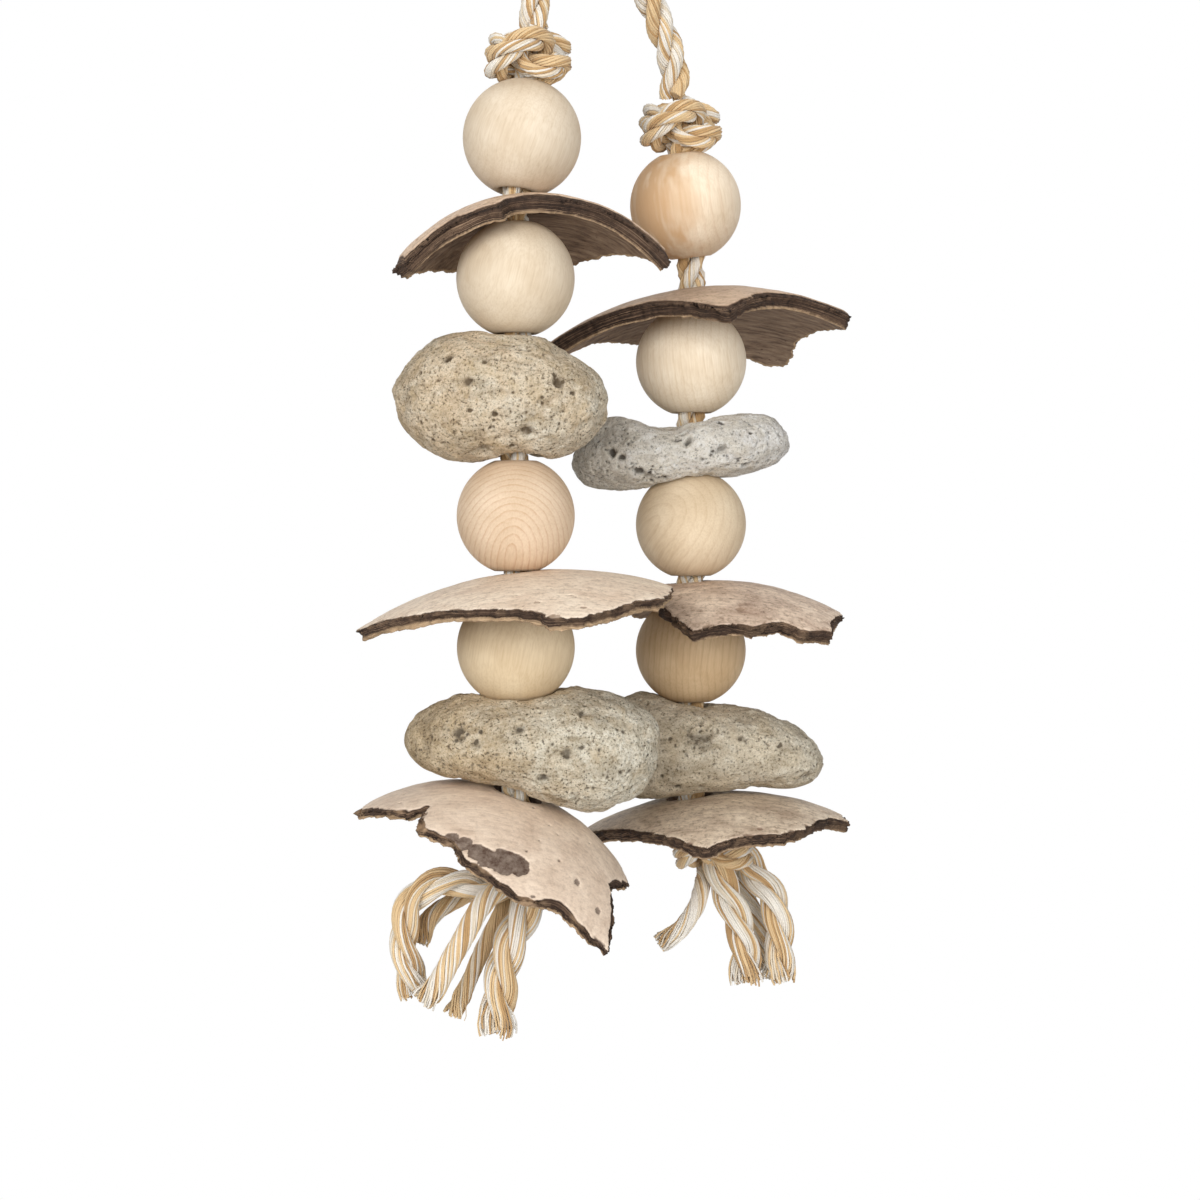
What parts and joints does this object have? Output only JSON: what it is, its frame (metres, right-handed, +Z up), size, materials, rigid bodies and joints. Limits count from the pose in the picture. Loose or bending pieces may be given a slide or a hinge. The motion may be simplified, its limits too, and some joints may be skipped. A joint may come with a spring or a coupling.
{
  "type": "bird toy",
  "caption": "Hanging bird toy: knotted cotton rope strings threaded with wooden balls, broken coconut shell and pumice stones, hung from a steel ring.",
  "frame": {"origin": "centre of the steel ring that the toy hangs from", "axes": "+Z up, along the hanging toy; +X to the right and +Y away as the picture shows it"},
  "size_m": [0.1303, 0.1314, 0.3778],
  "materials": {
    "wood": "satin",
    "coconut_shell": "matte",
    "pumice": "matte",
    "cotton_rope": "matte",
    "steel": "polished"
  },
  "bodies": {
    "ring": {"hanging_ring": "steel"},
    "hanger": {"hanging_loop": "cotton_rope", "hanging_knot": "cotton_rope"},
    "left_string": {"left_leg": "cotton_rope", "left_top_knot": "cotton_rope", "left_rope": "cotton_rope", "left_end_knot": "cotton_rope", "left_tail_1": "cotton_rope", "left_tail_2": "cotton_rope", "left_tail_3": "cotton_rope", "left_tail_4": "cotton_rope", "left_tail_5": "cotton_rope"},
    "right_string": {"right_leg": "cotton_rope", "right_top_knot": "cotton_rope", "right_rope": "cotton_rope", "right_end_knot": "cotton_rope", "right_tail_1": "cotton_rope", "right_tail_2": "cotton_rope", "right_tail_3": "cotton_rope", "right_tail_4": "cotton_rope"},
    "left_ball_1": {"left_ball_1": "wood"},
    "left_shell_1": {"left_shell_1": "coconut_shell"},
    "left_ball_2": {"left_ball_2": "wood"},
    "left_stone_1": {"left_stone_1": "pumice"},
    "left_ball_3": {"left_ball_3": "wood"},
    "left_shell_2": {"left_shell_2": "coconut_shell"},
    "left_ball_4": {"left_ball_4": "wood"},
    "left_stone_2": {"left_stone_2": "pumice"},
    "left_shell_3": {"left_shell_3": "coconut_shell"},
    "right_ball_1": {"right_ball_1": "wood"},
    "right_shell_1": {"right_shell_1": "coconut_shell"},
    "right_ball_2": {"right_ball_2": "wood"},
    "right_stone_1": {"right_stone_1": "pumice"},
    "right_ball_3": {"right_ball_3": "wood"},
    "right_shell_2": {"right_shell_2": "coconut_shell"},
    "right_ball_4": {"right_ball_4": "wood"},
    "right_stone_2": {"right_stone_2": "pumice"},
    "right_shell_3": {"right_shell_3": "coconut_shell"}
  },
  "joints": [
    {"name": "hanger_swing", "type": "hinge", "parent": "ring", "child": "hanger", "pos_m": [0, 0, -0.0183], "axis": [1, 0, 0], "range_deg": [-45, 45]},
    {"name": "left_string_swing", "type": "hinge", "parent": "hanger", "child": "left_string", "pos_m": [-0.00326, -0.0031, -0.05429], "axis": [-0.6884, 0.7254, 0], "range_deg": [0, 25]},
    {"name": "right_string_swing", "type": "hinge", "parent": "hanger", "child": "right_string", "pos_m": [0.00326, 0.0031, -0.05638], "axis": [0.6884, -0.7254, 0], "range_deg": [0, 25]},
    {"name": "left_ball_1_spin", "type": "hinge", "parent": "left_string", "child": "left_ball_1", "pos_m": [-0.02135, -0.01876, -0.12688], "axis": [0.1135, 0.1077, 0.9877], "continuous": true},
    {"name": "left_shell_1_spin", "type": "hinge", "parent": "left_string", "child": "left_shell_1", "pos_m": [-0.02297, -0.0203, -0.14377], "axis": [0, 0, 1], "continuous": true},
    {"name": "left_ball_2_spin", "type": "hinge", "parent": "left_string", "child": "left_ball_2", "pos_m": [-0.02297, -0.0203, -0.16254], "axis": [0, 0, 1], "continuous": true},
    {"name": "left_stone_1_spin", "type": "hinge", "parent": "left_string", "child": "left_stone_1", "pos_m": [-0.02297, -0.0203, -0.1926], "axis": [0, 0, 1], "range_deg": [-120, 120]},
    {"name": "left_ball_3_spin", "type": "hinge", "parent": "left_string", "child": "left_ball_3", "pos_m": [-0.02297, -0.0203, -0.22261], "axis": [0, 0, 1], "continuous": true},
    {"name": "left_shell_2_spin", "type": "hinge", "parent": "left_string", "child": "left_shell_2", "pos_m": [-0.02297, -0.0203, -0.23905], "axis": [0, 0, 1], "range_deg": [-12, 45]},
    {"name": "left_ball_4_spin", "type": "hinge", "parent": "left_string", "child": "left_ball_4", "pos_m": [-0.02297, -0.0203, -0.256], "axis": [0, 0, 1], "continuous": true},
    {"name": "left_stone_2_spin", "type": "hinge", "parent": "left_string", "child": "left_stone_2", "pos_m": [-0.02297, -0.0203, -0.2816], "axis": [0, 0, 1], "range_deg": [-35, 6]},
    {"name": "left_shell_3_spin", "type": "hinge", "parent": "left_string", "child": "left_shell_3", "pos_m": [-0.02297, -0.0203, -0.29507], "axis": [0, 0, 1], "range_deg": [-6, 5]},
    {"name": "right_ball_1_spin", "type": "hinge", "parent": "right_string", "child": "right_ball_1", "pos_m": [0.02158, 0.02198, -0.13838], "axis": [-0.1135, -0.1077, 0.9877], "continuous": true},
    {"name": "right_shell_1_spin", "type": "hinge", "parent": "right_string", "child": "right_shell_1", "pos_m": [0.02321, 0.02353, -0.16288], "axis": [0, 0, 1], "continuous": true},
    {"name": "right_ball_2_spin", "type": "hinge", "parent": "right_string", "child": "right_ball_2", "pos_m": [0.02321, 0.02353, -0.18038], "axis": [0, 0, 1], "continuous": true},
    {"name": "right_stone_1_spin", "type": "hinge", "parent": "right_string", "child": "right_stone_1", "pos_m": [0.02321, 0.02353, -0.20493], "axis": [0, 0, 1], "continuous": true},
    {"name": "right_ball_3_spin", "type": "hinge", "parent": "right_string", "child": "right_ball_3", "pos_m": [0.02321, 0.02353, -0.22464], "axis": [0, 0, 1], "continuous": true},
    {"name": "right_shell_2_spin", "type": "hinge", "parent": "right_string", "child": "right_shell_2", "pos_m": [0.02321, 0.02353, -0.24223], "axis": [0, 0, 1], "range_deg": [-2, 55]},
    {"name": "right_ball_4_spin", "type": "hinge", "parent": "right_string", "child": "right_ball_4", "pos_m": [0.02321, 0.02353, -0.25898], "axis": [0, 0, 1], "continuous": true},
    {"name": "right_stone_2_spin", "type": "hinge", "parent": "right_string", "child": "right_stone_2", "pos_m": [0.02321, 0.02353, -0.28505], "axis": [0, 0, 1], "range_deg": [-55, 55]},
    {"name": "right_shell_3_spin", "type": "hinge", "parent": "right_string", "child": "right_shell_3", "pos_m": [0.02321, 0.02353, -0.30076], "axis": [0, 0, 1], "range_deg": [-18, 9]}
  ]
}
